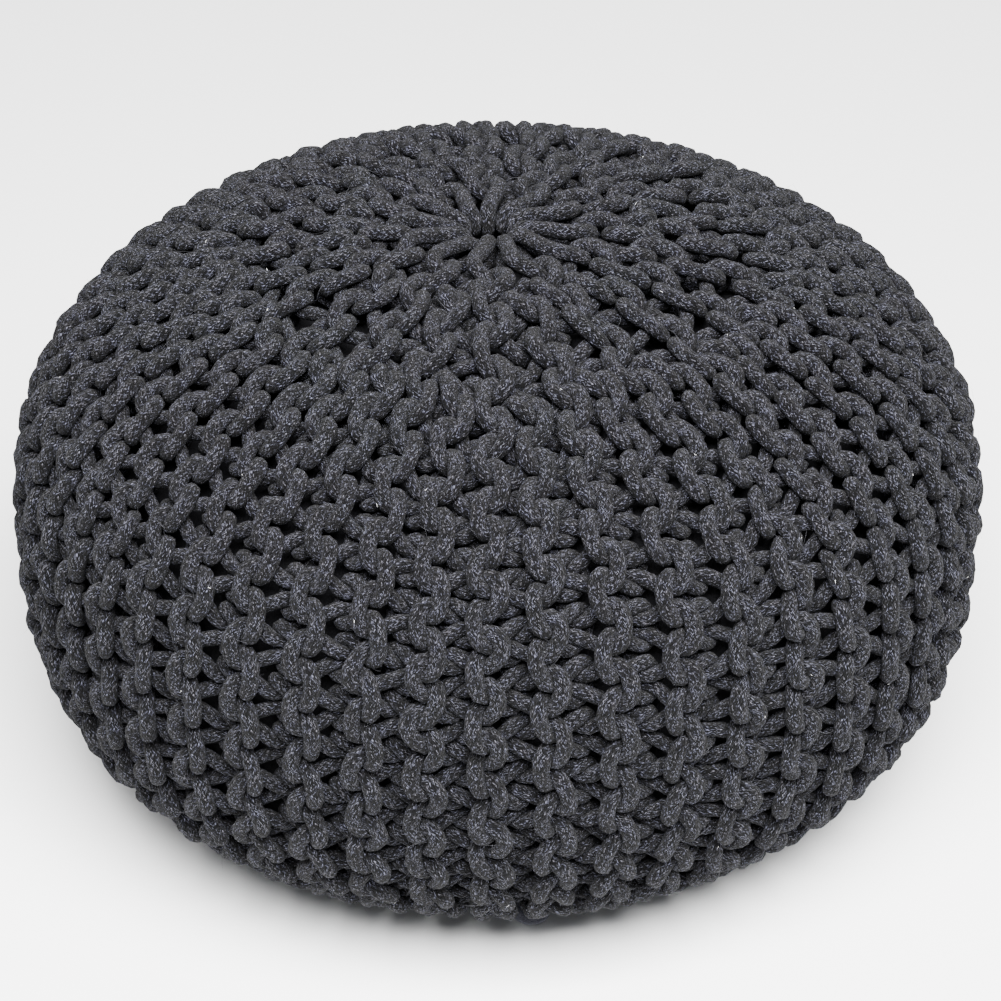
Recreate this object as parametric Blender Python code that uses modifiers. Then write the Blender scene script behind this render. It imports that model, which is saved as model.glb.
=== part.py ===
"""A round floor pouf: a bead-filled casing inside a thick cover knitted in garter-stitch ridges.

The cover is a shell that is open at the gathered eye on top and at the one underneath. Its ridges run from
eye to eye. It is knitted in wedges, so few ridges reach the top eye and more join them further down.
"""

import math

import bpy

# Driving dimensions, in metres. The crown's height is the one it would have without its dimple.
POUF_DIAMETER = 0.500
CROWN_HEIGHT = 0.314
EQUATOR_HEIGHT = 0.152
FLAT_BASE_DIAMETER = 0.250

# How full the rounded side is, as the exponent of its curve: 2 is an ellipse, and more is squarer.
CROWN_FULLNESS = 2.5
BELLY_FULLNESS = 2.8

# The gathered eyes, and the dimples that their gathering threads draw in around them.
EYE_DIAMETER = 0.026
CROWN_DIMPLE_DEPTH = 0.004
CROWN_DIMPLE_RADIUS = 0.040
BASE_DIMPLE_DEPTH = 0.010
BASE_DIMPLE_RADIUS = 0.045

# The knitted cover: three crossings of cord thick, in wedges of four ridges.
COVER_THICKNESS = 0.024
WEDGES = 12
RIDGES_IN_WEDGE = 4
RIDGE_DEPTH = 0.007
SECOND_RIDGES_FROM_EYE = 0.058
LAST_RIDGES_FROM_EYE = 0.138
RIDGE_RUN_IN = 0.020
RIDGE_FADE_HEIGHT = 0.020

# The casing keeps clear of the cover by this much.
CASING_CLEARANCE = 0.0004

# Rows of faces down each part of the section, and columns of faces across each ridge.
CROWN_ROWS = 11
BELLY_ROWS = 7
BASE_ROWS = 4
INNER_ROW_SPACING = 2
COLUMNS_ACROSS_RIDGE = 2

COLUMNS = WEDGES * RIDGES_IN_WEDGE * COLUMNS_ACROSS_RIDGE
RADIUS = POUF_DIAMETER / 2
EYE_RADIUS = EYE_DIAMETER / 2
BASE_RADIUS = FLAT_BASE_DIAMETER / 2


def clear_scene():
    for old in list(bpy.data.objects):
        bpy.data.objects.remove(old, do_unlink=True)


def new_collection(name):
    collection = bpy.data.collections.new(name)
    bpy.context.scene.collection.children.link(collection)
    return collection


def cloth_material(name, colour, roughness):
    material = bpy.data.materials.new(name)
    material.use_nodes = True
    shader = material.node_tree.nodes["Principled BSDF"]
    shader.inputs["Base Color"].default_value = (*colour, 1.0)
    shader.inputs["Roughness"].default_value = roughness
    shader.inputs["Metallic"].default_value = 0.0
    return material


def dimple(radius, reach):
    """1 on the axis, falling smoothly to 0 at the dimple's edge."""
    return (1 - (radius / reach) ** 2) ** 2 if radius < reach else 0.0


def crown_point(turn):
    """(radius, height) on the crown, from turn 0 at the equator to a quarter turn on the axis."""
    radius = RADIUS * math.cos(turn) ** (2 / CROWN_FULLNESS)
    rise = (CROWN_HEIGHT - EQUATOR_HEIGHT) * math.sin(turn) ** (2 / CROWN_FULLNESS)
    return radius, EQUATOR_HEIGHT + rise - CROWN_DIMPLE_DEPTH * dimple(radius, CROWN_DIMPLE_RADIUS)


def belly_point(share):
    """(radius, height) below the equator, from share 0 there to share 1 at the edge of the flat base."""
    flat_edge = BASE_RADIUS / RADIUS
    last_turn = math.acos(flat_edge ** (BELLY_FULLNESS / 2))
    deepest = EQUATOR_HEIGHT / math.sin(last_turn) ** (2 / BELLY_FULLNESS)
    turn = last_turn * share
    radius = RADIUS * math.cos(turn) ** (2 / BELLY_FULLNESS)
    return radius, EQUATOR_HEIGHT - deepest * math.sin(turn) ** (2 / BELLY_FULLNESS)


def outer_section():
    """The cover's outline from the top eye's lip over the crown and down to the lip of the eye underneath."""
    eye_turn = math.acos((EYE_RADIUS / RADIUS) ** (CROWN_FULLNESS / 2))
    crown = [crown_point(eye_turn * (1 - row / CROWN_ROWS)) for row in range(CROWN_ROWS + 1)]
    belly = [belly_point(row / BELLY_ROWS) for row in range(1, BELLY_ROWS + 1)]
    base_radii = [BASE_DIMPLE_RADIUS + (EYE_RADIUS - BASE_DIMPLE_RADIUS) * row / (BASE_ROWS - 1)
                  for row in range(BASE_ROWS)]
    base = [(radius, BASE_DIMPLE_DEPTH * dimple(radius, BASE_DIMPLE_RADIUS)) for radius in base_radii]
    # The belly's last point is the flat base's edge, which lies on the floor exactly.
    return crown + belly[:-1] + [(BASE_RADIUS, 0.0)] + base


def inward_normals(section):
    """The unit normal at each point of an outline that runs down its outer side, pointing into the pouf."""
    normals = []
    for row, _ in enumerate(section):
        before = section[max(row - 1, 0)]
        after = section[min(row + 1, len(section) - 1)]
        across, down = after[0] - before[0], after[1] - before[1]
        length = math.hypot(across, down)
        normals.append((down / length, -across / length))
    return normals


def moved_in(section, depth):
    normals = inward_normals(section)
    return [(radius + normal[0] * depth, height + normal[1] * depth)
            for (radius, height), normal in zip(section, normals, strict=True)]


def smooth_step(value):
    value = min(max(value, 0.0), 1.0)
    return value * value * (3 - 2 * value)


def distances_from_eye(section):
    distances = [0.0]
    for before, after in zip(section, section[1:], strict=False):
        distances.append(distances[-1] + math.dist(before, after))
    return distances


def valley_depth(angle, from_eye, height):
    """How far the surface lies below the ridges' crests, at this angle and distance from the top eye."""
    second = smooth_step((from_eye - SECOND_RIDGES_FROM_EYE) / RIDGE_RUN_IN + 0.5)
    last = smooth_step((from_eye - LAST_RIDGES_FROM_EYE) / RIDGE_RUN_IN + 0.5)
    wave = ((1 - second) * math.cos(WEDGES * angle)
            + second * (1 - last) * math.cos(WEDGES * 2 * angle)
            + last * math.cos(WEDGES * RIDGES_IN_WEDGE * angle))
    return RIDGE_DEPTH * (1 - wave) / 2 * smooth_step(height / RIDGE_FADE_HEIGHT)


def mesh_object(name, points, faces, material, collection):
    mesh = bpy.data.meshes.new(name)
    mesh.from_pydata(points, [], faces)
    mesh.materials.append(material)
    mesh.shade_smooth()
    made = bpy.data.objects.new(name, mesh)
    collection.objects.link(made)
    return made


def knitted_cover(collection):
    """The cover, lofted round the axis from sections whose outer side is pushed in between the ridges."""
    outer = outer_section()
    normals = inward_normals(outer)
    distances = distances_from_eye(outer)
    inner = inner_section()
    rows = len(outer) + len(inner)
    points = []
    for column in range(COLUMNS):
        angle = math.tau * column / COLUMNS
        section = []
        for (radius, height), normal, from_eye in zip(outer, normals, distances, strict=True):
            depth = valley_depth(angle, from_eye, height)
            section.append((radius + normal[0] * depth, height + normal[1] * depth))
        section += reversed(inner)
        points += [(radius * math.cos(angle), radius * math.sin(angle), height)
                   for radius, height in section]
    faces = []
    for column in range(COLUMNS):
        here, beside = column * rows, (column + 1) % COLUMNS * rows
        for row in range(rows):
            below = (row + 1) % rows
            faces.append((here + row, here + below, beside + below, beside + row))
    material = cloth_material("charcoal_cord", (0.050, 0.051, 0.060), 0.95)
    return mesh_object("knitted_cover", points, faces, material, collection)


def inner_section():
    """The cover's inner side, with fewer rows than its outer side, and both eyes' lips."""
    whole = moved_in(outer_section(), COVER_THICKNESS)
    last = len(whole) - 1
    return [point for row, point in enumerate(whole) if row % INNER_ROW_SPACING == 0 or row == last]


def inner_casing(collection):
    """The filled bag: a turned shape that follows the cover's inner side and closes under both eyes."""
    section = moved_in(inner_section(), CASING_CLEARANCE)
    outline = [(0.0, section[0][1]), *section, (0.0, section[-1][1])]
    mesh = bpy.data.meshes.new("inner_casing")
    mesh.from_pydata([(radius, 0.0, height) for radius, height in outline],
                     [(row, row + 1) for row in range(len(outline) - 1)], [])
    mesh.materials.append(cloth_material("casing_cloth", (0.020, 0.021, 0.024), 0.80))
    made = bpy.data.objects.new("inner_casing", mesh)
    collection.objects.link(made)
    turn = made.modifiers.new("turn", "SCREW")
    turn.axis = "Z"
    turn.angle = math.tau
    turn.steps = COLUMNS
    turn.render_steps = COLUMNS
    turn.use_merge_vertices = True
    turn.merge_threshold = 0.00005
    turn.use_smooth_shade = True
    return made


clear_scene()
pouf = new_collection("knitted_pouf")
knitted_cover(pouf)
inner_casing(pouf)
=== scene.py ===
"""A round floor pouf: a dark filled bag in a cover hand-knitted from one thick charcoal cotton cord."""

import math

import bmesh
import bpy
import numpy as np
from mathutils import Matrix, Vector


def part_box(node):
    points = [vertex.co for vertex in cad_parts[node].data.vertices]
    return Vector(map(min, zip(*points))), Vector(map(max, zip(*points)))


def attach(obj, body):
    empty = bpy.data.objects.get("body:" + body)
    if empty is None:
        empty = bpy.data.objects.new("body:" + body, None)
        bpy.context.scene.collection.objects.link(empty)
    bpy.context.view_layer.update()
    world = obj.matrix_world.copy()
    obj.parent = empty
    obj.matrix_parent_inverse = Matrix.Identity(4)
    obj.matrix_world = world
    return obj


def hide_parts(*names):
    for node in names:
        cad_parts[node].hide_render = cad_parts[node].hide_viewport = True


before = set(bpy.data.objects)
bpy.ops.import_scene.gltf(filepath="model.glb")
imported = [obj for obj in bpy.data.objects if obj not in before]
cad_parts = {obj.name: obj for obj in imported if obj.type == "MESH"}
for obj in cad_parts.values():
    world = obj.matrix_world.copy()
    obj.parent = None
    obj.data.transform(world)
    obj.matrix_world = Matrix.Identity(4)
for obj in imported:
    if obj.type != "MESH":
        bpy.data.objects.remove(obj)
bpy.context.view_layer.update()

# --- The pouf's outline ------------------------------------------------------------------------------
# The filled pouf stands on the flat ring of its base and has full, rounded sides. A thread draws the cover
# in at an eye on top, a little off centre, and at one underneath. All the cloth follows this outline.

cover_low, cover_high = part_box("knitted_cover")
pouf_radius = (cover_high.x - cover_low.x) / 2
crown_height = 0.312
widest_height = 0.152
base_radius = 0.125
crown_fullness = 2.5  # the exponent of the side's curve: 2 is an ellipse, and more is squarer
belly_fullness = 2.8
crown_dimple = (0.002, 0.040)  # depth, radius
base_dimple = (0.010, 0.045)
eye_offset = np.array([-0.004, 0.004, 0.0])
offset_reach = 0.16  # the cover beyond this radius keeps its place
outline_step = 0.0005
curve_points = 2000
direction_softening = 0.024  # the length over which the outline's direction is averaged


def dimple(radius, size):
    """How far the outline dips at a radius, for a dimple of this depth and radius."""
    return size[0] * np.clip(1 - (radius / size[1]) ** 2, 0, 1) ** 2


def softened(values, length):
    """Values along the outline, averaged over a length of it."""
    window = np.hanning(round(length / outline_step) + 2)
    padded = np.pad(values, len(window) // 2, mode="edge")
    return np.convolve(padded, window / window.sum(), mode="same")[len(window) // 2:][:len(values)]


turn = np.linspace(math.pi / 2, 0, 2 * curve_points)
crown_radii = pouf_radius * np.abs(np.cos(turn)) ** (2 / crown_fullness)
crown_rise = (crown_height - widest_height) * np.sin(turn) ** (2 / crown_fullness)
crown_heights = widest_height + crown_rise - dimple(crown_radii, crown_dimple)
last_turn = math.acos((base_radius / pouf_radius) ** (belly_fullness / 2))
turn = np.linspace(0, last_turn, curve_points)[1:]
belly_radii = pouf_radius * np.cos(turn) ** (2 / belly_fullness)
belly_heights = widest_height * (1 - (np.sin(turn) / math.sin(last_turn)) ** (2 / belly_fullness))
base_radii = np.linspace(base_radius, 0, curve_points)[1:]
outline_radius = np.concatenate([crown_radii, belly_radii, base_radii])
outline_height = np.concatenate([crown_heights, belly_heights, dimple(base_radii, base_dimple)])
travel = np.hypot(np.diff(outline_radius), np.diff(outline_height))
distance = np.concatenate([[0.0], np.cumsum(travel)])
along_outline = np.arange(0.0, distance[-1], outline_step)
outline_length = along_outline[-1]
outline_radius = np.interp(along_outline, distance, outline_radius)
outline_height = np.interp(along_outline, distance, outline_height)
tangent_radial = softened(np.gradient(outline_radius, outline_step), direction_softening)
tangent_upward = softened(np.gradient(outline_height, outline_step), direction_softening)
tangent_length = np.hypot(tangent_radial, tangent_upward)
tangent_radial /= tangent_length
tangent_upward /= tangent_length


def outline_at(along):
    """Radius, height and direction (radial, upward) of the outline, at distances from the top's centre."""
    return [np.interp(along, along_outline, values)
            for values in (outline_radius, outline_height, tangent_radial, tangent_upward)]


def placed(along, angle, depth):
    """Points at a distance down the outline and an angle round the axis, this deep below the surface."""
    radius, height, radial, upward = outline_at(along)
    radius = radius + upward * depth
    height = height - radial * depth
    return np.stack([radius * np.cos(angle), radius * np.sin(angle), height], axis=-1)


def drawn_over(points):
    """Points of the crown, moved over with the eye."""
    around = np.hypot(points[..., 0], points[..., 1]) / offset_reach
    share = np.clip(1 - around ** 2, 0, 1) ** 2 * (points[..., 2] > widest_height)
    return points + eye_offset * share[..., None]


# --- Inner casing ------------------------------------------------------------------------------------
# The bag inside the cover is plain cloth, filled firmly with small beads and sewn shut. It shows only
# through the holes between the stitches, and swells a little into each of them. Its near-black colour is
# painted shade, for the shade it lies in behind the stitches.

casing_depth = 0.0270
casing_columns = 192
casing_rows = 72
swell = 0.0006
swells_round = 48  # one for each ridge of the cover
swell_length = 0.0285
thread_fineness = 1400.0
crease_fineness = 60.0
crease_relief = 6.0  # as a share of the threads' relief


class Finish:
    """A new material, with short ways to add its nodes."""

    def __init__(self, name, roughness):
        self.material = bpy.data.materials.new(name)
        self.material.use_nodes = True
        self.tree = self.material.node_tree
        self.shader = self.tree.nodes["Principled BSDF"]
        self.shader.inputs["Roughness"].default_value = roughness

    def node(self, kind, inputs, **settings):
        """A node of a kind with its settings, and its inputs set to numbers or linked to other nodes."""
        made = self.tree.nodes.new("ShaderNode" + kind)
        for setting, value in settings.items():
            setattr(made, setting, value)
        for place, value in inputs.items():
            if isinstance(value, bpy.types.NodeSocket):
                self.tree.links.new(value, made.inputs[place])
            else:
                made.inputs[place].default_value = value
        return made

    def math(self, operation, *values):
        """The result of a sum on numbers or on other nodes' outputs."""
        return self.node("Math", dict(enumerate(values)), operation=operation).outputs[0]

    def ramp(self, value, stops):
        """The colours of the stops, blended along a value."""
        made = self.node("ValToRGB", {"Fac": value})
        while len(made.color_ramp.elements) < len(stops):
            made.color_ramp.elements.new(0.5)
        for element, (place, colour) in zip(made.color_ramp.elements, stops, strict=True):
            element.position = place
            element.color = (*colour, 1.0)
        return made.outputs["Color"]

    def finished(self, colour, height, relief_depth, relief_strength):
        """The material, once it has its colour and its relief."""
        relief = {"Height": height, "Distance": relief_depth, "Strength": relief_strength}
        self.tree.links.new(colour, self.shader.inputs["Base Color"])
        self.tree.links.new(self.node("Bump", relief).outputs["Normal"], self.shader.inputs["Normal"])
        return self.material


def tube_faces(rings, sides):
    """The four-sided faces between a tube's rings, when each ring has this many points."""
    ring = np.arange(rings - 1)[:, None] * sides
    column = np.arange(sides)[None, :]
    beside = (column + 1) % sides
    corners = [ring + column, ring + beside, ring + sides + beside, ring + sides + column]
    return np.stack(corners, axis=-1).reshape(-1, 4)


def mesh_object(name, points, faces, material):
    """A smooth mesh from arrays of points and of four-sided faces."""
    mesh = bpy.data.meshes.new(name)
    mesh.vertices.add(len(points))
    mesh.vertices.foreach_set("co", np.ravel(points))
    mesh.loops.add(faces.size)
    mesh.loops.foreach_set("vertex_index", np.ravel(faces))
    mesh.polygons.add(len(faces))
    mesh.polygons.foreach_set("loop_start", np.arange(0, faces.size, 4))
    mesh.update(calc_edges=True)
    mesh.materials.append(material)
    mesh.shade_smooth()
    made = bpy.data.objects.new(name, mesh)
    bpy.context.scene.collection.objects.link(made)
    return made


cloth = Finish("casing_cloth_painted_shade", roughness=0.9)
cloth.shader.inputs["Specular IOR Level"].default_value = 0.15
in_cloth = cloth.node("TexCoord", {}).outputs["Object"]
fine = {"Vector": in_cloth, "Scale": thread_fineness, "Detail": 1.0}
broad = {"Vector": in_cloth, "Scale": crease_fineness, "Detail": 3.0}
threads = cloth.node("TexNoise", fine).outputs["Fac"]
creases = cloth.node("TexNoise", broad).outputs["Fac"]
# Painted shade: the cloth is coloured near black, standing in for the shade it lies in behind the
# stitches.
painted_shade_cloth_colour = cloth.ramp(threads, [(0.35, (0.0012, 0.0012, 0.0016)), (0.65, (0.0040, 0.0040, 0.0052))])
cloth_height = cloth.math("MULTIPLY_ADD", creases, crease_relief, threads)
casing_cloth = cloth.finished(painted_shade_cloth_colour, cloth_height, relief_depth=0.0004, relief_strength=0.6)

row_along = np.linspace(0.0, outline_length, casing_rows)
column_angle = -np.linspace(0.0, math.tau, casing_columns, endpoint=False)
row_along, column_angle = np.meshgrid(row_along, column_angle, indexing="ij")
swelling = swell * np.sin(swells_round * column_angle) * np.sin(math.tau * row_along / swell_length)
casing_points = drawn_over(placed(row_along, column_angle, casing_depth - swelling))
# The first and last rows close to a point.
casing_points[[0, -1]] = casing_points[[0, -1]].mean(axis=1, keepdims=True)
casing_faces = tube_faces(casing_rows, casing_columns)
casing = mesh_object("filled_casing", casing_points.reshape(-1, 3), casing_faces, casing_cloth)
edited = bmesh.new()
edited.from_mesh(casing.data)
bmesh.ops.remove_doubles(edited, verts=edited.verts, dist=0.00001)
edited.to_mesh(casing.data)
edited.free()
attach(casing, "root")
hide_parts("inner_casing")

# --- Inner casing: the fold under the front edge -------------------------------------------------------
# A fold of the casing's cloth has worked out under the front of the cover. Its paler colour is painted
# light: the same cloth as the casing, made lighter where it catches the light outside the cover. It lies
# doubled on the floor, with creases that fan out toward its edge.

fold_angle = math.radians(-84.6)
fold_half_width = 0.012
fold_from = 0.140  # radii
fold_to = 0.1700
fold_top = (0.0090, 0.0036)  # heights of the upper layer, where it leaves the cover and at its edge
fold_bottom = 0.0006
fold_fullness = 1.5
fold_rounding = 0.9
fold_steepness = 3
fold_widening = 0.25
fold_sideways = 0.002
fold_columns = 40
fold_rows = 28
crease_height = 0.0006
fold_creases = [  # waves across, share of the height, shift, fanning
    (9, 1.0, 1.3, 0),
    (17, 0.6, 0.0, 2),
    (29, 0.4, 0.0, 0),
]

# Painted light: a paler copy of the casing's cloth, standing in for the light the fold catches outside the
# cover.
painted_light_fold = Finish("casing_cloth_painted_light", roughness=0.55)
on_fold = painted_light_fold.node("TexCoord", {}).outputs["Object"]
fine = {"Vector": on_fold, "Scale": thread_fineness, "Detail": 1.0}
painted_light_fold_threads = painted_light_fold.node("TexNoise", fine).outputs["Fac"]
painted_light_fold_colour = painted_light_fold.ramp(painted_light_fold_threads, [(0.35, (0.080, 0.080, 0.100)), (0.65, (0.170, 0.171, 0.210))])
painted_light_fold_cloth = painted_light_fold.finished(painted_light_fold_colour, painted_light_fold_threads, relief_depth=0.0002, relief_strength=0.5)

across, round_fold = np.meshgrid(np.linspace(-1, 1, fold_columns), np.linspace(-1, 1, fold_rows))
fold_reach = (1 - np.abs(round_fold) ** fold_fullness) * np.sqrt(1 - fold_rounding * across ** 2)
fold_radius = fold_from + (fold_to - fold_from) * fold_reach
upper = np.interp(fold_reach, [0, 1], fold_top)
middle_height = (upper + fold_bottom) / 2
fold_height = middle_height + (upper - fold_bottom) / 2 * np.clip(fold_steepness * round_fold, -1, 1)
# The lower layer lies flat, and the upper one has the creases.
creased = np.clip(round_fold + 0.2, 0, 1)
for waves, share, shift, fanning in fold_creases:
    crease = np.sin(waves * across + shift + fanning * fold_reach)
    fold_height += crease_height * share * crease * creased
fold_side = fold_half_width * across * (1 + fold_widening * fold_reach) + fold_sideways * fold_reach
fold_points = np.stack([fold_radius * math.cos(fold_angle) - fold_side * math.sin(fold_angle),
                        fold_radius * math.sin(fold_angle) + fold_side * math.cos(fold_angle),
                        fold_height], axis=-1).reshape(-1, 3)
fold_first = np.arange(fold_rows - 1)[:, None] * fold_columns + np.arange(fold_columns - 1)
fold_faces = fold_first.reshape(-1, 1) + np.array([0, 1, fold_columns + 1, fold_columns])
fold = mesh_object("casing_fold", fold_points, fold_faces, painted_light_fold_cloth)
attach(fold, "root")
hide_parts("inner_casing")

# --- Knitted cover: where its stitches lie ------------------------------------------------------------
# The cover is knitted sideways in garter stitch: its rows run from eye to eye, and every two rows make one
# ridge. Short rows shape it in 12 wedges of four ridges. Rungs number the stitches down from the top eye.
# The first and last stitches of the longest rows are drawn out straight to the eyes.

wedges = 12
wedge_angle = math.tau / wedges
cord_radius = 0.0050
layer_depth = 0.0128
eye_at = 0.0150
first_steps = [0.026, 0.028, 0.034, 0.034]
last_steps = [0.030, 0.031, 0.028, 0.026]
middle_step = 0.0285
middle_shares = ([0.0, 0.45, 1.0], [1.12, 0.97, 0.91])  # places down the side, and lengths there
lower_eye_before_end = 0.0175
lower_eye_at = outline_length - lower_eye_before_end
middle_length = lower_eye_at - eye_at - sum(first_steps) - sum(last_steps)
middle_count = round(middle_length / middle_step)
middle_steps = np.interp(np.linspace(0, 1, middle_count), *middle_shares)
middle_steps *= middle_length / middle_steps.sum()
rung_at = eye_at + np.concatenate([[0.0], np.cumsum([*first_steps, *middle_steps, *last_steps])])
rungs = len(rung_at) - 1

# For each of a wedge's eight rows: its first and last rung, and its angle in degrees at rungs near both
# ends. Between them the angle changes evenly.
wedge_rows = 8
row_first = [1, 1, 4, 4, 2, 2, 4, 4]
row_last = [rungs - 1, rungs - 4, rungs - 4, rungs - 2, rungs - 2, rungs - 4, rungs - 4, rungs - 1]
row_angle_rungs = [1.5, 2.5, 3.5, 4.5, rungs - 4.5, rungs - 3.5, rungs - 2.5, rungs - 1.5]
row_angles = [
    [-7.5, -3.75, -3.75, -1.875, -1.875, 0.0, 0.0, 3.75],
    [7.5, 3.75, 3.75, 1.875, 1.875, 3.0, 3.0, 6.0],
    [7.0, 6.5, 6.5, 5.625, 5.625, 4.5, 4.5, 7.0],
    [8.0, 8.5, 8.5, 9.375, 9.375, 7.5, 7.5, 10.5],
    [14.0, 11.25, 11.25, 13.125, 13.125, 15.0, 15.0, 12.0],
    [16.0, 18.75, 18.75, 16.875, 16.875, 18.0, 18.0, 14.0],
    [20.0, 21.5, 21.5, 20.625, 20.625, 19.5, 19.5, 16.0],
    [22.0, 23.5, 23.5, 24.375, 24.375, 22.5, 22.5, 18.75],
]

loop_overlap = 0.0130  # how far a loop reaches past the next row's
loop_lean = 0.22  # how far a loop bulges over its neighbours, as a share of a stitch
layer_gap = 0.0084  # how far a loop rises and dips through the cover
crossing_lift = 0.0033  # how far crossing cords make way for each other
points_in_stitch = 24
eye_depth = 0.0055
eye_double_depth = 0.0145
row_turn_tip = 0.008
eye_turn_tip = 0.0045
points_in_turn = 7
points_to_eye = 8


def row_angle(row, rung):
    """The angle of a row at a rung, counting the rows on from one wedge to the next."""
    wedge, row = divmod(row, wedge_rows)
    return wedge_angle * wedge + np.radians(np.interp(rung, row_angle_rungs, row_angles[row]))


def neighbour(row, rung, step):
    """The nearest row before or after this one that has a stitch below this rung."""
    other = row + step
    while not row_first[other % wedge_rows] <= rung < row_last[other % wedge_rows]:
        other += step
    return other


def half_gap(row, neighbour_row, rung, at_rung):
    """Half the spacing of two rows at a rung, plus half of the loops' overlap."""
    radius = outline_at(np.interp(at_rung, range(rungs + 1), rung_at))[0] - layer_depth
    apart = abs(row_angle(row, at_rung) - row_angle(neighbour_row, at_rung))
    return apart * radius / 2 + loop_overlap / 2


def stitched_row(row):
    """Distance down the outline, angle and depth along one row of stitches, from its top rung down."""
    first, last = row_first[row], row_last[row]
    heads = [half_gap(row, neighbour(row, rung, 1), rung, rung + 0.5) for rung in range(first, last)]
    feet = [half_gap(row, neighbour(row, min(rung, last - 1), -1), rung, rung)
            for rung in range(first, last + 1)]
    turn = np.linspace(0, math.tau * (last - first), points_in_stitch * (last - first) + 1)
    rung = first + turn / math.tau
    head = np.interp(rung, np.arange(first, last) + 0.5, heads)
    foot = np.interp(rung, np.arange(first, last + 1), feet)
    step = np.interp(rung, range(rungs + 1), np.gradient(rung_at))
    along = np.interp(rung, range(rungs + 1), rung_at) + loop_lean * step * np.sin(2 * turn)
    aside = head * (1 - np.cos(turn)) / 2 - foot * (1 + np.cos(turn)) / 2
    angle = row_angle(row, rung) + aside / (outline_at(along)[0] - layer_depth)
    side = 1 if row % 2 else -1
    lift = layer_gap * np.cos(turn) + crossing_lift * np.sin(4 * turn) * np.sin(turn)
    return np.stack([along, angle, layer_depth - side * lift], axis=-1)


def turned(before, after, tip):
    """The cord turning round between the ends of two rows, over a tip this far beyond them."""
    turn = np.linspace(0, math.pi, points_in_turn + 2)[1:-1, None]
    path = before + (after - before) * (1 - np.cos(turn)) / 2
    path[:, 0] += tip * np.sin(turn[:, 0])
    return path


def drawn_to_eye(before, after, at, angle, tip):
    """The cord running straight to an eye, turning there on edge, and running straight back."""
    out = np.array([at, angle, eye_depth if before[2] < after[2] else eye_double_depth])
    back = np.array([at, angle, eye_depth if after[2] < before[2] else eye_double_depth])
    share = np.linspace(0, 1, points_to_eye + 1)[1:, None]
    return np.concatenate([before + (out - before) * share, turned(out, back, tip),
                           back + (after - back) * (share - share[0])])


wedge_path = []
rows = [stitched_row(row) for row in range(wedge_rows)]
for row in range(0, wedge_rows, 2):
    upward, downward = rows[row][::-1], rows[row + 1]
    wedge_path.append(upward)
    if row == 0:
        wedge_path.append(drawn_to_eye(upward[-1], downward[0], eye_at, 0.0, -eye_turn_tip))
    else:
        wedge_path.append(turned(upward[-1], downward[0], -row_turn_tip))
    wedge_path.append(downward)
    if row == wedge_rows - 2:
        following = rows[0][-1] + [0, wedge_angle, 0]
        middle = (downward[-1][1] + following[1]) / 2
        wedge_path.append(drawn_to_eye(downward[-1], following, lower_eye_at, middle, eye_turn_tip))
    else:
        wedge_path.append(turned(downward[-1], rows[row + 2][-1], row_turn_tip))
wedge_path = np.concatenate(wedge_path)
cord_path = np.concatenate([wedge_path + [0, wedge_angle * wedge, 0] for wedge in range(wedges)])

# Hand knitting is uneven: the ridges wander, the stitches run ahead or lag, and some ridges crowd up.
aside_drift = 0.0016
onward_drift = 0.0035
drift_fades = (0.03, 0.08)  # distance from the eyes where it begins, and over which it grows
drift_waves = 12
drift_slant = 22
drift_norm = 2.5
nearest_drift = 0.03  # nearer the axis, the ridges are shifted as if here
crowded_aside = 0.030  # angles
crowded_in_front = 0.015
crowded_finely = 0.009
fine_crowding_from = math.radians(24)
crowded_behind = 0.095


def drift(along, angle, size, seed):
    """A slow, uneven wander over the cover, dying away at both eyes."""
    random = np.random.default_rng(seed)
    total = 0
    for waves in range(1, drift_waves + 1):
        phase = random.uniform(0, math.tau)
        down = random.uniform(-drift_slant, drift_slant)
        share = random.normal()
        total = total + share * np.sin(waves * angle + down * along + phase)
    from_eye = np.minimum(along, outline_length - along)
    return size * total / drift_norm * np.clip((from_eye - drift_fades[0]) / drift_fades[1], 0, 1)


path_along, path_angle, path_depth = cord_path.T
aside = drift(path_along, path_angle, aside_drift, seed=5)
aside = aside / np.maximum(outline_at(path_along)[0], nearest_drift)
onward = drift(path_along, path_angle, onward_drift, seed=9)
from_front = path_angle + math.pi / 2
crowding = (-crowded_aside * np.sin(from_front) - crowded_in_front * np.cos(2 * from_front)
            - crowded_finely * np.sin(4 * from_front - fine_crowding_from)
            + crowded_behind * np.sin(from_front / 2) ** 8)
path_along = path_along + onward
cord_points = placed(path_along, path_angle + aside + crowding, path_depth)

# --- Knitted cover: pulling the cord tight -------------------------------------------------------------
# The cord is soft and thick. It keeps its length, bends only so sharply, can't pass through itself, and
# lies on the casing and on the floor, so every loop settles against its neighbours.

tile_points = 36
tiles_in_wedge = 84
total_points = tile_points * tiles_in_wedge * wedges
held_points = 24  # points that keep their place together, a little over one stitch
settle_steps = 260
pull_begins, pull_takes = 60, 80  # steps
upper_pull = 0.92  # the cord's length over the crown, as a share of what was laid out
lower_pull = 1.0
upper_ends, lower_begins = 0.20, 0.42  # distances down the outline
slack_spread = 0.015
shortest_bend = 0.0100  # between points four apart
bend_share = 0.25
stiffness = 0.06
contact_reach = 0.0125
contact_gap = 0.0073  # the pressed cord's thickness
contact_begins, contact_grows, contact_takes = 0.7, 0.3, 40  # shares of that thickness, and steps
contact_skip = 5
contact_rounds = 2
contact_haste = 1.4
steps_between_searches = 20
furthest_slide = 0.002
outer_depth = 0.0042
outer_share = 0.3
inward_pull = 0.00004
place_hold = 0.05
chance = np.random.default_rng(48)


def closed(values):
    """The values round the closed cord, with the first one again at the end."""
    return np.concatenate([values, values[:1]])


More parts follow.
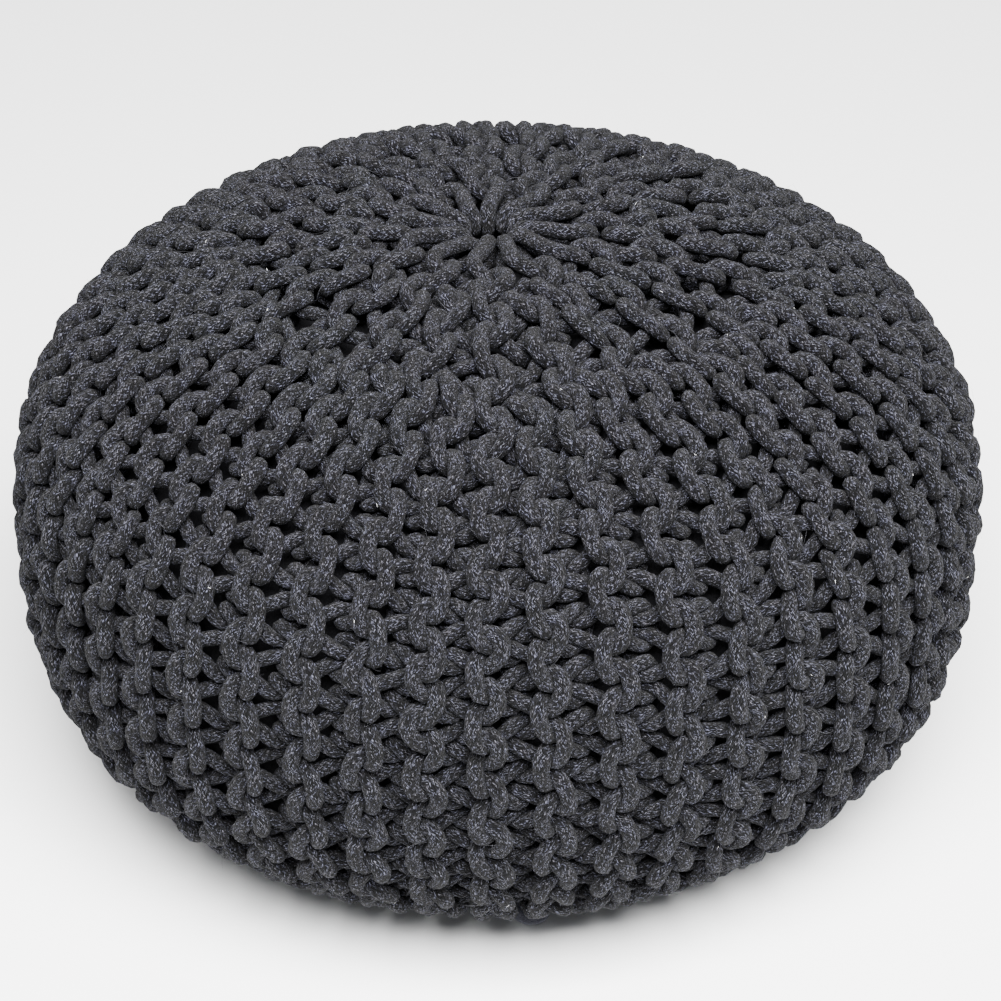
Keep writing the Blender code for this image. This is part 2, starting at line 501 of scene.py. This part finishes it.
def near_pairs(points, reach, skip):
    """Pairs of points within reach of each other and more than skip places apart on the closed cord."""
    count = len(points)
    cell = np.floor(points / reach).astype(np.int64)
    cell -= cell.min(axis=0) - 1
    size = cell.max(axis=0) + 2
    key = (cell[:, 0] * size[1] + cell[:, 1]) * size[2] + cell[:, 2]
    order = np.argsort(key, kind="stable")
    sorted_key = key[order]
    firsts, seconds = [], []
    # A cell and its 13 neighbours on one side make every pair of cells just once.
    for shift in range(14):
        across, down, up = shift // 9, shift // 3 % 3, shift % 3
        wanted = key + ((across - 1) * size[1] + down - 1) * size[2] + up - 1
        start = np.searchsorted(sorted_key, wanted, "left")
        found = np.searchsorted(sorted_key, wanted, "right") - start
        first = np.repeat(np.arange(count), found)
        place = np.arange(len(first)) - np.repeat(np.cumsum(found) - found, found)
        second = order[np.repeat(start, found) + place]
        apart = np.abs(first - second)
        keep = np.minimum(apart, count - apart) > skip
        keep &= np.linalg.norm(points[first] - points[second], axis=1) < reach
        if shift == 13:
            keep &= first < second
        firsts.append(first[keep])
        seconds.append(second[keep])
    return np.concatenate(firsts), np.concatenate(seconds)


def pushed_apart(points, first, second, gap):
    """Points moved so that the pairs closer than the gap come nearer to it."""
    between = points[second] - points[first]
    length = np.linalg.norm(between, axis=1)
    touching = length < gap
    one, other = first[touching], second[touching]
    shift = between[touching] * (0.5 * (gap / length[touching] - 1))[:, None]
    count = np.bincount(one, minlength=len(points)) + np.bincount(other, minlength=len(points))
    push = np.stack([np.bincount(other, along, len(points)) - np.bincount(one, along, len(points))
                     for along in shift.T], axis=-1)
    return points + contact_haste * push / np.maximum(count, 1)[:, None]


ends = closed(cord_points)
travel = np.concatenate([[0.0], np.cumsum(np.linalg.norm(np.diff(ends, axis=0), axis=1))])
stations = np.linspace(0, travel[-1], total_points, endpoint=False)
cord = np.stack([np.interp(stations, travel, ends[:, axis]) for axis in range(3)], axis=-1)
cord_along = np.interp(stations, travel, closed(path_along))
rest = travel[-1] / total_points
uneven = slack_spread * np.clip(chance.normal(size=total_points // held_points), -2, 2)
slack = np.interp(cord_along, [upper_ends, lower_begins], [upper_pull, lower_pull])
slack *= 1 + np.repeat(uneven, held_points)
home = cord.reshape(-1, held_points, 3).mean(axis=1)
even = np.arange(0, total_points, 2)
for step in range(settle_steps):
    # The cord keeps its length.
    pulled = min(1.0, max(0.0, step - pull_begins) / pull_takes)
    target = (rest * (1 + (slack - 1) * pulled))[:, None]
    for start in (even, even + 1, even, even + 1):
        end = (start + 1) % total_points
        between = cord[end] - cord[start]
        length = np.linalg.norm(between, axis=1, keepdims=True)
        shift = 0.5 * (1 - target[start] / length) * between
        cord[start] += shift
        cord[end] -= shift
    # It bends only so sharply.
    between = np.roll(cord, -2, axis=0) - np.roll(cord, 2, axis=0)
    length = np.linalg.norm(between, axis=1, keepdims=True)
    shift = bend_share * np.clip(shortest_bend / length - 1, 0, 1) * between
    cord += np.roll(shift, 2, axis=0) - np.roll(shift, -2, axis=0)
    cord += stiffness * ((np.roll(cord, 1, axis=0) + np.roll(cord, -1, axis=0)) / 2 - cord)
    # It does not pass through itself.
    if step % steps_between_searches == 0:
        first, second = near_pairs(cord, contact_reach, contact_skip)
    gap = contact_gap * min(1.0, contact_begins + contact_grows * step / contact_takes)
    for again in range(contact_rounds):
        cord = pushed_apart(cord, first, second, gap)
    # It lies on the casing and on the floor.
    radius, height, radial, upward = outline_at(cord_along)
    around = np.hypot(cord[:, 0], cord[:, 1])
    slide = (around - radius) * radial + (cord[:, 2] - height) * upward
    cord_along += np.clip(slide, -furthest_slide, furthest_slide)
    depth = (around - radius) * upward - (cord[:, 2] - height) * radial
    lift = np.maximum(depth - (casing_depth - cord_radius), 0) - inward_pull
    lift -= outer_share * np.maximum(outer_depth - depth, 0)
    outward = np.stack([-upward * cord[:, 0] / around, -upward * cord[:, 1] / around, radial], axis=-1)
    cord += outward * lift[:, None]
    cord[:, 2] = np.maximum(cord[:, 2], cord_radius)
    # Each stitch keeps its place.
    stray = home - cord.reshape(-1, held_points, 3).mean(axis=1)
    cord += np.repeat(place_hold * stray, held_points, axis=0)

# --- Knitted cover: the cord's body --------------------------------------------------------------------
# The cord is a soft tube, plump in the loops and drawn thinner where it runs down through the cover. It is
# a little lumpy, and presses flat where it touches its neighbours. A tile is a length of cord with a set
# number of rings, closer together where it bends more.

cord_sides = 10
plump = 0.0042
leg_thinning = 0.88
thinning_depths = (0.006, 0.011)
lumpiness = 0.035
lump_rings = 9
surface_roughness = 0.04
above_floor = 0.0002
tile_rings = 42
bend_density = 3.0
sharpest_bend = 0.6
almost_a_place = 1e-9  # keeps a ring that lies on a point from falling before it

tiles = total_points // tile_points
total_rings = tiles * tile_rings
bend = np.linalg.norm(np.roll(cord, 1, axis=0) - 2 * cord + np.roll(cord, -1, axis=0), axis=1) / rest
density = 1 + bend_density * np.minimum(bend, sharpest_bend)
density = (density + np.roll(density, -1)) / 2
reached = np.cumsum(density.reshape(tiles, tile_points), axis=1)
reached = reached / reached[:, -1:] + np.arange(tiles)[:, None]
reached = np.concatenate([[0.0], reached.ravel()])
places = np.interp(np.arange(total_rings) / tile_rings, reached, np.arange(total_points + 1))

# The rings' centres lie on a smooth curve along the settled cord.
base = np.floor(places + almost_a_place).astype(np.int64)
part = (places - base)[:, None]
weights = [(1 - part) ** 3, 3 * part ** 3 - 6 * part ** 2 + 4,
           3 * part + 3 * part ** 2 - 3 * part ** 3 + 1, part ** 3]
curve = sum(weight * cord[(base + shift) % total_points]
            for shift, weight in zip((-1, 0, 1, 2), weights, strict=True)) / 6
curve = drawn_over(curve)
tangent = np.roll(curve, -1, axis=0) - np.roll(curve, 1, axis=0)
tangent /= np.linalg.norm(tangent, axis=1, keepdims=True)

# Each ring's first side follows from the last one's without a twist, and closing the round adds a slow
# twist all along the cord.
frames = np.empty((total_rings + 1, 3))
side = np.cross(tangent[0], [0.0, 0.0, 1.0])
for ring in range(total_rings + 1):
    ahead = tangent[ring % total_rings]
    side = side - ahead * (side[0] * ahead[0] + side[1] * ahead[1] + side[2] * ahead[2])
    side = side / math.sqrt(side[0] ** 2 + side[1] ** 2 + side[2] ** 2)
    frames[ring] = side
closing = math.atan2(np.dot(np.cross(frames[-1], frames[0]), tangent[0]), np.dot(frames[-1], frames[0]))
frames = frames[:-1]
other = np.cross(tangent, frames)
round_angle = np.linspace(0, math.tau, cord_sides, endpoint=False)[None, :, None]
round_angle = round_angle + closing * np.arange(total_rings)[:, None, None] / total_rings
lumps = np.pad(chance.normal(size=total_rings), lump_rings // 2, mode="wrap")
lumps = np.convolve(lumps, np.hanning(lump_rings) / math.sqrt(3), mode="valid")
ring_depth = np.interp(places, np.arange(total_points), depth)
thickness = np.interp(ring_depth, thinning_depths, [1.0, leg_thinning])
thickness *= plump * (1 + lumpiness * np.clip(lumps, -2, 2))
rings = np.cos(round_angle) * frames[:, None, :] + np.sin(round_angle) * other[:, None, :]
uneven_surface = 1 + surface_roughness * np.clip(chance.normal(size=(total_rings, cord_sides, 1)), -2, 2)
rings = curve[:, None, :] + thickness[:, None, None] * uneven_surface * rings

# Where two cords touch, both stop at the plane halfway between them.
first, second = near_pairs(curve, 2 * plump, contact_skip + 1)
one, other_one = np.concatenate([first, second]), np.concatenate([second, first])
order = np.argsort(one, kind="stable")
one, other_one = one[order], other_one[order]
rank = np.arange(len(one)) - np.searchsorted(one, one, "left")
for place in range(int(rank.max()) + 1):
    here, there = one[rank == place], other_one[rank == place]
    between = curve[there] - curve[here]
    length = np.linalg.norm(between, axis=1, keepdims=True)
    direction = between / length
    reach = np.einsum("nsk,nk->ns", rings[here] - curve[here][:, None, :], direction)
    rings[here] -= np.maximum(reach - length / 2, 0)[:, :, None] * direction[:, None, :]
rings[:, :, 2] = np.maximum(rings[:, :, 2], above_floor)

# --- Knitted cover: its cotton -------------------------------------------------------------------------
# The cord is braided from cotton yarns of many greys, so it is charcoal with pale and dark flecks that
# slant both ways. The pattern closes on itself along a tile and round the cord. The one cord is made as
# twelve meshes, one for each wedge of the cover.

fleck_turns = 4  # how often a slanting line goes round the cord in one tile
braid_repeats = 7.0
braid_sharpness = 2.0
braid_relief = 0.25  # as a share of the flecks' relief
fleck_finenesses = (10.0, 2.0)  # across and along a fleck
fleck_detail = 1.0
patch_finenesses = (1.2, 1.2)
patch_detail = 2.0
relief_depth = 0.0018

yarn = Finish("charcoal_cord", roughness=0.95)
yarn.shader.inputs["Sheen Weight"].default_value = 0.02
yarn.shader.inputs["Sheen Roughness"].default_value = 0.5
yarn.shader.inputs["Specular IOR Level"].default_value = 0.08
on_cord = yarn.node("SeparateXYZ", {0: yarn.node("UVMap", {}, uv_map="OFBake").outputs["UV"]})
down_cord = yarn.math("MULTIPLY", on_cord.outputs[0], math.tau * fleck_turns)
round_cord = yarn.math("MULTIPLY", on_cord.outputs[1], math.tau)
right_slant = yarn.math("ADD", down_cord, round_cord)
left_slant = yarn.math("SUBTRACT", down_cord, round_cord)


def slanting_noise(across, along, across_size, along_size, detail):
    """Noise in streaks along one slant. Both slants close on themselves, so each tile joins the next."""
    turns = [yarn.math("MULTIPLY", yarn.math(wave, slant), size)
             for slant, size in ((across, across_size), (along, along_size))
             for wave in ("COSINE", "SINE")]
    vector = yarn.node("CombineXYZ", {0: turns[0], 1: turns[1], 2: turns[2]}).outputs[0]
    inputs = {"Vector": vector, "W": turns[3], "Scale": 1.0, "Detail": detail, "Roughness": 0.6}
    return yarn.node("TexNoise", inputs, noise_dimensions="4D").outputs["Fac"]


right_flecks = slanting_noise(left_slant, right_slant, *fleck_finenesses, fleck_detail)
left_flecks = slanting_noise(right_slant, left_slant, *fleck_finenesses, fleck_detail)
patches = slanting_noise(left_slant, right_slant, *patch_finenesses, patch_detail)
braid = yarn.math("MULTIPLY", yarn.math("SINE", yarn.math("MULTIPLY", right_slant, braid_repeats)),
                  yarn.math("SINE", yarn.math("MULTIPLY", left_slant, braid_repeats)))
over = yarn.node("Clamp", {"Value": yarn.math("MULTIPLY_ADD", braid, braid_sharpness, 0.5)}).outputs[0]
either_way = {"Factor": over, "A": right_flecks, "B": left_flecks}
flecks = yarn.node("Mix", either_way, data_type="FLOAT").outputs[0]
charcoals = yarn.ramp(flecks, [
    (0.38, (0.0001, 0.0001, 0.0002)),
    (0.46, (0.0002, 0.0002, 0.0003)),
    (0.52, (0.0009, 0.0009, 0.0013)),
    (0.58, (0.0057, 0.0057, 0.0082)),
    (0.66, (0.0800, 0.0805, 0.1010)),
])
tint = yarn.ramp(patches, [
    (0.35, (1.05, 1.00, 0.93)),
    (0.50, (0.99, 1.00, 1.03)),
    (0.65, (0.97, 0.98, 1.13)),
])
tinted = {"Factor": 1.0, "A": charcoals, "B": tint}
yarn_colour = yarn.node("Mix", tinted, data_type="RGBA", blend_type="MULTIPLY").outputs[2]
yarn_height = yarn.math("MULTIPLY_ADD", yarn.math("ABSOLUTE", braid), braid_relief, flecks)
charcoal = yarn.finished(yarn_colour, yarn_height, relief_depth, relief_strength=1.0)

wedge_rings = total_rings // wedges
for wedge in range(wedges):
    picked = np.arange(wedge * wedge_rings, (wedge + 1) * wedge_rings + 1) % total_rings
    faces = tube_faces(wedge_rings + 1, cord_sides)
    piece = mesh_object(f"knitted_wedge_{wedge + 1:02d}", rings[picked].reshape(-1, 3), faces, charcoal)
    # Each tile fills the map once: along the cord, and round it.
    travel = np.linalg.norm(np.diff(curve[picked], axis=0), axis=1).reshape(-1, tile_rings)
    reached = np.cumsum(travel, axis=1) / travel.sum(axis=1, keepdims=True)
    begun = np.concatenate([np.zeros((len(reached), 1)), reached[:, :-1]], axis=1)
    sides = np.arange(cord_sides)[None, :]
    corners = np.zeros((wedge_rings, cord_sides, 4, 2))
    corners[:, :, [0, 1], 0] = begun.reshape(-1, 1, 1)
    corners[:, :, [2, 3], 0] = reached.reshape(-1, 1, 1)
    corners[:, :, [0, 3], 1] = sides[..., None] / cord_sides
    corners[:, :, [1, 2], 1] = (sides[..., None] + 1) / cord_sides
    piece.data.uv_layers.new(name="OFBake").uv.foreach_set("vector", corners.ravel())
    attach(piece, "root")
    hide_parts("knitted_cover")

# --- Knitted cover: loose fibres and lint --------------------------------------------------------------
# Handling has worked fine fibres loose from the cotton, and a few bits of white lint have caught in it.
# Both are curved hairs that start inside the cord and lie close over it.

hair_rings = 5
hair_sides = 3
hair_root = 0.0004  # how deep in the cord it starts
hair_taper = 0.7
hair_straying = 0.5  # from the cord's own direction
hair_curl = 0.35
faces_out = 0.3  # the least share of a place's direction that points away from the pouf's middle
hair_above_floor = 0.0003
hair_greys = 90.0  # the fineness of the greys' change from hair to hair


def hairs(name, count, length_range, radius, rise, material):
    """Hairs as one mesh, starting at random places of the cord that face outward."""
    facing = rings - curve[:, None, :]
    facing /= np.linalg.norm(facing, axis=-1, keepdims=True)
    out_there = curve - [0.0, 0.0, widest_height]
    out_there /= np.linalg.norm(out_there, axis=-1, keepdims=True)
    outside = np.einsum("nsk,nk->ns", facing, out_there) > faces_out
    ring, side = np.nonzero(outside & (ring_depth < thinning_depths[1])[:, None])
    chosen = chance.choice(len(ring), count, replace=False)
    ring, side = ring[chosen], side[chosen]
    normal = facing[ring, side]
    ahead = tangent[ring] * chance.choice([-1, 1], (count, 1))
    ahead += chance.normal(0, hair_straying, (count, 3))
    ahead -= normal * np.sum(ahead * normal, axis=1, keepdims=True)
    ahead /= np.linalg.norm(ahead, axis=1, keepdims=True)
    beside = np.cross(normal, ahead)
    sideways = beside * chance.normal(0, hair_curl, (count, 1))
    length = chance.uniform(*length_range, (count, 1, 1))
    share = np.linspace(0, 1, hair_rings)[None, :, None]
    arch = share * (rise * (1 - 0.5 * share))
    line = ahead[:, None] * share + normal[:, None] * arch + sideways[:, None] * share ** 2
    line = rings[ring, side][:, None] - hair_root * normal[:, None] + length * line
    turn = np.linspace(0, math.tau, hair_sides, endpoint=False)[None, None, :, None]
    thin = radius * (1 - hair_taper * share[..., None])
    around = np.cos(turn) * beside[:, None, None] + np.sin(turn) * normal[:, None, None]
    points = line[:, :, None] + thin * around
    points[..., 2] = np.maximum(points[..., 2], hair_above_floor)
    first = np.arange(count)[:, None, None] * hair_rings * hair_sides
    faces = (first + tube_faces(hair_rings, hair_sides)).reshape(-1, 4)
    made = mesh_object(name, points.reshape(-1, 3), faces, material)
    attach(made, "root")
    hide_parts("knitted_cover")


def hair_cotton(name, dark, pale):
    """Cotton whose grey changes from hair to hair."""
    cotton = Finish(name, roughness=0.9)
    in_cover = cotton.node("TexCoord", {}).outputs["Object"]
    greys = cotton.node("TexNoise", {"Vector": in_cover, "Scale": hair_greys}).outputs["Fac"]
    colour = cotton.ramp(greys, [(0.35, dark), (0.65, pale)])
    return cotton.finished(colour, greys, relief_depth=0.0001, relief_strength=0.2)


grey_cotton = hair_cotton("loose_grey_cotton", (0.02, 0.02, 0.024), (0.10, 0.10, 0.115))
white_cotton = hair_cotton("white_lint", (0.45, 0.45, 0.45), (0.80, 0.80, 0.78))
hairs("loose_fibres", count=2800, length_range=(0.003, 0.009), radius=0.00006, rise=0.35,
      material=grey_cotton)
hairs("caught_lint", count=150, length_range=(0.0008, 0.0026), radius=0.00017, rise=0.25,
      material=white_cotton)

# --- Floor, light and camera ---------------------------------------------------------------------------
# A white studio floor, one large soft light overhead and in front, and an even pale surround. The camera
# looks down on the pouf from in front.

floor_size = 8.0
floor_colour = (0.86, 0.86, 0.86)
surround_colour = (0.95, 0.97, 1.0)
surround_strength = 0.36
softbox_power = 560
softbox_size = (1.8, 1.3)
softbox_at = (0.2, -1.3, 2.1)
camera_elevation = math.radians(32)
camera_distance = 1.75
camera_aim = Vector((0.0016, 0.0, 0.1565))
camera_lens = 121.4
camera_shift = -0.0165

paper = Finish("pale_floor", roughness=0.9)
paper.shader.inputs["Base Color"].default_value = (*floor_colour, 1.0)
floor_corners = floor_size * np.array([(-1, -1, 0), (1, -1, 0), (1, 1, 0), (-1, 1, 0)])
floor = mesh_object("pale_floor", floor_corners, np.array([[0, 1, 2, 3]]), paper.material)

world = bpy.data.worlds.new("studio")
world.use_nodes = True
surround = world.node_tree.nodes["Background"]
surround.inputs["Color"].default_value = (*surround_colour, 1.0)
surround.inputs["Strength"].default_value = surround_strength
bpy.context.scene.world = world

softbox = bpy.data.lights.new("overhead_softbox", "AREA")
softbox.energy = softbox_power
softbox.shape = "RECTANGLE"
softbox.size, softbox.size_y = softbox_size
softbox_object = bpy.data.objects.new("overhead_softbox", softbox)
softbox_object.location = softbox_at
toward_pouf = Vector((0.0, 0.0, widest_height)) - Vector(softbox_at)
softbox_object.rotation_euler = toward_pouf.to_track_quat("-Z", "Y").to_euler()
bpy.context.scene.collection.objects.link(softbox_object)

lens = bpy.data.cameras.new("camera")
lens.lens = camera_lens
lens.shift_y = camera_shift
camera = bpy.data.objects.new("camera", lens)
back_and_up = Vector((0.0, -math.cos(camera_elevation), math.sin(camera_elevation)))
camera.location = camera_aim + camera_distance * back_and_up
camera.rotation_euler = (math.pi / 2 - camera_elevation, 0.0, 0.0)
bpy.context.scene.collection.objects.link(camera)
bpy.context.scene.camera = camera
